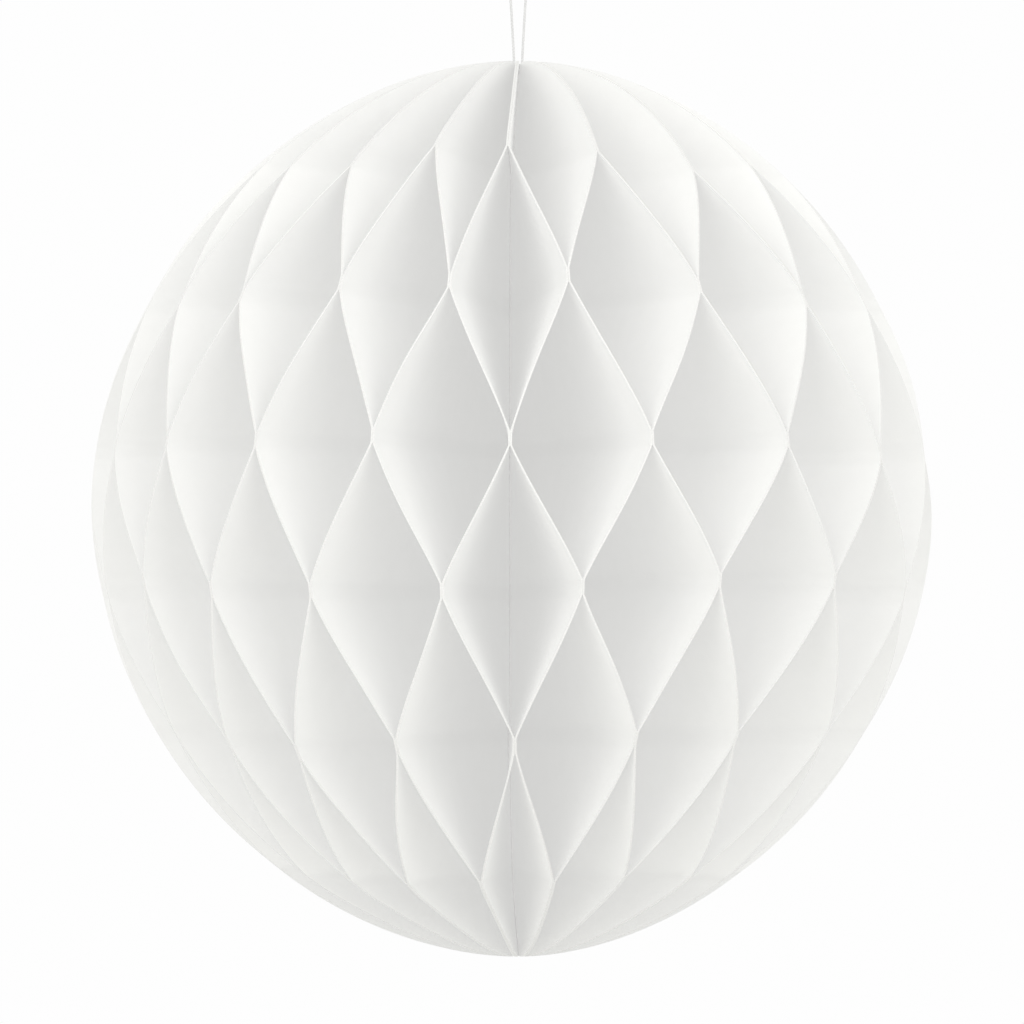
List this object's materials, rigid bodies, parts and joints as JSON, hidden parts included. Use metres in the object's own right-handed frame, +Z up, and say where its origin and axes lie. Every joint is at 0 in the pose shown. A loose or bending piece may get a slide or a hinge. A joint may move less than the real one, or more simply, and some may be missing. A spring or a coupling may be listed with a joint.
{
  "type": "honeycomb paper ball",
  "caption": "White honeycomb paper ball: thin leaves glued on alternate lines open into diamond cells round a spine, hung by a fine thread loop as a light decoration.",
  "frame": {"origin": "top of the hanging thread's loop, where a hook or a line holds the ball", "axes": "+Z up along the spine, -Y towards the viewer of the picture, +X to the viewer's right"},
  "size_m": [0.1868, 0.1877, 0.22],
  "materials": {
    "leaf_paper": "matte, slightly translucent tissue",
    "cover_card": "matte coated card",
    "tape": "satin adhesive strip",
    "thread": "matte twisted cotton"
  },
  "bodies": {
    "root": {"leaf_01": "leaf_paper", "leaf_02": "leaf_paper", "leaf_03": "leaf_paper", "leaf_04": "leaf_paper", "leaf_05": "leaf_paper", "leaf_06": "leaf_paper", "leaf_07": "leaf_paper", "leaf_08": "leaf_paper", "leaf_09": "leaf_paper", "leaf_10": "leaf_paper", "leaf_11": "leaf_paper", "leaf_12": "leaf_paper", "leaf_13": "leaf_paper", "leaf_14": "leaf_paper", "leaf_15": "leaf_paper", "leaf_16": "leaf_paper", "leaf_17": "leaf_paper", "leaf_18": "leaf_paper", "leaf_19": "leaf_paper", "leaf_20": "leaf_paper", "leaf_21": "leaf_paper", "leaf_22": "leaf_paper", "leaf_23": "leaf_paper", "leaf_24": "leaf_paper", "leaf_25": "leaf_paper", "leaf_26": "leaf_paper", "leaf_27": "leaf_paper", "leaf_28": "leaf_paper", "leaf_29": "leaf_paper", "leaf_30": "leaf_paper", "leaf_31": "leaf_paper", "leaf_32": "leaf_paper", "leaf_33": "leaf_paper", "leaf_34": "leaf_paper", "leaf_35": "leaf_paper", "leaf_36": "leaf_paper", "leaf_37": "leaf_paper", "leaf_38": "leaf_paper", "leaf_39": "leaf_paper", "leaf_40": "leaf_paper", "cover_card_left": "cover_card", "cover_card_right": "cover_card", "joining_tape": "tape", "spine_cord": "thread", "top_knot": "thread", "bottom_knot": "thread", "hanging_thread": "thread"}
  },
  "joints": []
}
